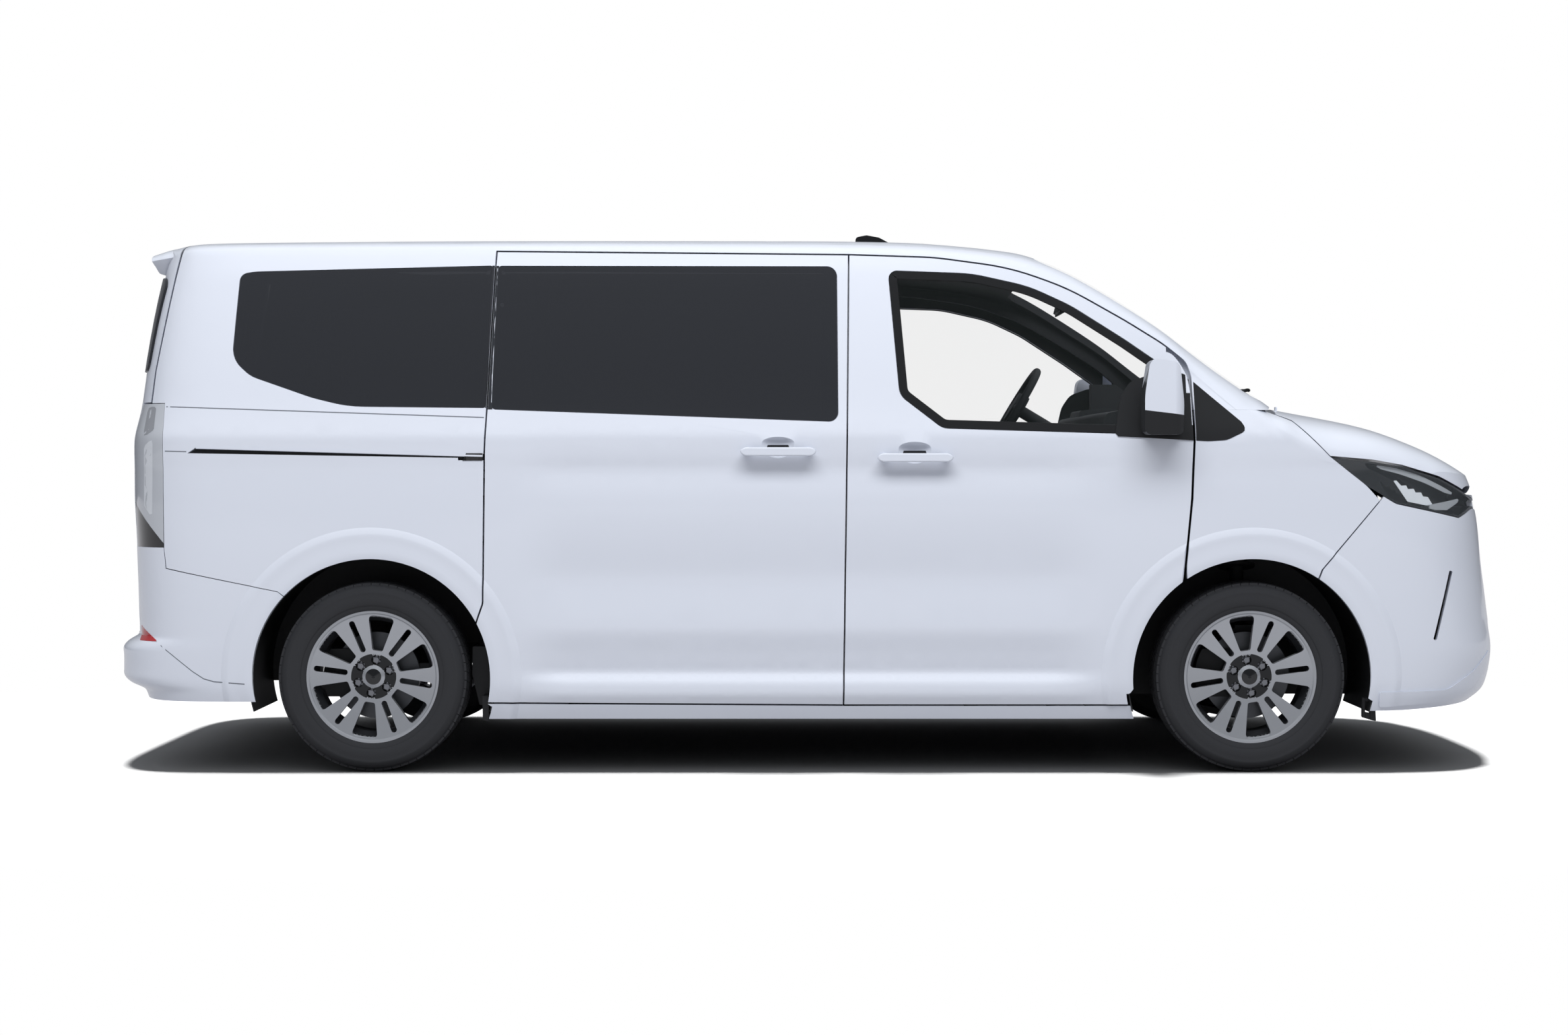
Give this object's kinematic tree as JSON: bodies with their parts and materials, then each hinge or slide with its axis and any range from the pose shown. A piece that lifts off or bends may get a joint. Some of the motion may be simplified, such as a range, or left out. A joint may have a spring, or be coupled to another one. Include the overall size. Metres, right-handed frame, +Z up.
{
  "type": "minibus",
  "caption": "Short medium minibus with sliding side doors, hinged front doors, bonnet and tailgate, steered front wheels and a furnished cabin.",
  "frame": {"origin": "on the ground, in the middle of the overall length and width", "axes": "+X forwards, +Y to the vehicle's left, +Z up"},
  "size_m": [5.0535, 2.274, 1.9748],
  "materials": {
    "body_paint": "gloss",
    "dark_glass": "gloss",
    "clear_glass": "gloss",
    "lamp_glass": "gloss",
    "black_trim": "gloss",
    "black_plastic": "satin",
    "chassis_black": "satin",
    "tail_lamp": "gloss",
    "cabin_plastic": "matt",
    "seat_cloth": "matt",
    "cast_metal": "rough",
    "tyre_rubber": "matt",
    "wheel_alloy": "satin"
  },
  "bodies": {
    "body": {"floor_pan": "chassis_black", "roof_panel": "body_paint", "side_panel_right": "body_paint", "side_panel_left": "body_paint", "sliding_door_right": "body_paint", "sliding_door_left": "body_paint", "side_glass": "dark_glass", "windscreen": "clear_glass", "front_wings": "body_paint", "front_bumper": "body_paint", "grille": "black_trim", "rear_bumper": "body_paint", "headlamp_housings": "black_trim", "headlamp_lenses": "lamp_glass", "tail_lamps": "tail_lamp", "front_arch_liners": "black_plastic", "rear_arch_liners": "black_plastic", "dashboard": "cabin_plastic", "steering_wheel": "cabin_plastic", "front_seats": "seat_cloth", "passenger_seats": "seat_cloth", "engine": "cast_metal", "front_subframe": "chassis_black", "rear_axle": "cast_metal", "cowl": "black_plastic", "roof_aerial": "black_plastic"},
    "front_door_right": {"front_door_right": "body_paint", "front_door_glass_right": "clear_glass", "door_mirror_right": "body_paint"},
    "front_door_left": {"front_door_left": "body_paint", "front_door_glass_left": "clear_glass", "door_mirror_left": "body_paint"},
    "bonnet": {"bonnet": "body_paint"},
    "tailgate": {"tailgate": "body_paint", "tailgate_glass": "dark_glass"},
    "knuckle_right": {"knuckle_right": "cast_metal"},
    "knuckle_left": {"knuckle_left": "cast_metal"},
    "wheel_front_right": {"tyre_front_right": "tyre_rubber", "wheel_rim_front_right": "wheel_alloy"},
    "wheel_front_left": {"tyre_front_left": "tyre_rubber", "wheel_rim_front_left": "wheel_alloy"},
    "wheel_rear_right": {"tyre_rear_right": "tyre_rubber", "wheel_rim_rear_right": "wheel_alloy"},
    "wheel_rear_left": {"tyre_rear_left": "tyre_rubber", "wheel_rim_rear_left": "wheel_alloy"}
  },
  "joints": [
    {"name": "steer_right", "type": "hinge", "parent": "body", "child": "knuckle_right", "pos_m": [1.54, -0.79, 0.19], "axis": [0, 0.2237, 0.9747], "range_deg": [-32, 32]},
    {"name": "steer_left", "type": "hinge", "parent": "body", "child": "knuckle_left", "pos_m": [1.54, 0.79, 0.19], "axis": [0, -0.2237, 0.9747], "range_deg": [-32, 32]},
    {"name": "spin_front_right", "type": "hinge", "parent": "knuckle_right", "child": "wheel_front_right", "pos_m": [1.54, -0.872, 0.336], "axis": [0, 1, 0], "continuous": true},
    {"name": "spin_front_left", "type": "hinge", "parent": "knuckle_left", "child": "wheel_front_left", "pos_m": [1.54, 0.872, 0.336], "axis": [0, 1, 0], "continuous": true},
    {"name": "spin_rear_right", "type": "hinge", "parent": "body", "child": "wheel_rear_right", "pos_m": [-1.56, -0.872, 0.336], "axis": [0, 1, 0], "continuous": true},
    {"name": "spin_rear_left", "type": "hinge", "parent": "body", "child": "wheel_rear_left", "pos_m": [-1.56, 0.872, 0.336], "axis": [0, 1, 0], "continuous": true},
    {"name": "door_right", "type": "hinge", "parent": "body", "child": "front_door_right", "pos_m": [1.245, -0.975, 0.9], "axis": [0, 0, 1], "range_deg": [0, 45]},
    {"name": "door_left", "type": "hinge", "parent": "body", "child": "front_door_left", "pos_m": [1.245, 0.975, 0.9], "axis": [0, 0, -1], "range_deg": [0, 45]},
    {"name": "bonnet_lift", "type": "hinge", "parent": "body", "child": "bonnet", "pos_m": [1.6, 0, 1.285], "axis": [0, -1, 0], "range_deg": [0, 50]},
    {"name": "tailgate_lift", "type": "hinge", "parent": "body", "child": "tailgate", "pos_m": [-2.28, 0, 1.89], "axis": [0, 1, 0], "range_deg": [0, 82]}
  ],
  "couplings": [
    {"joint": "steer_left", "follows": "steer_right", "ratio": 1}
  ]
}
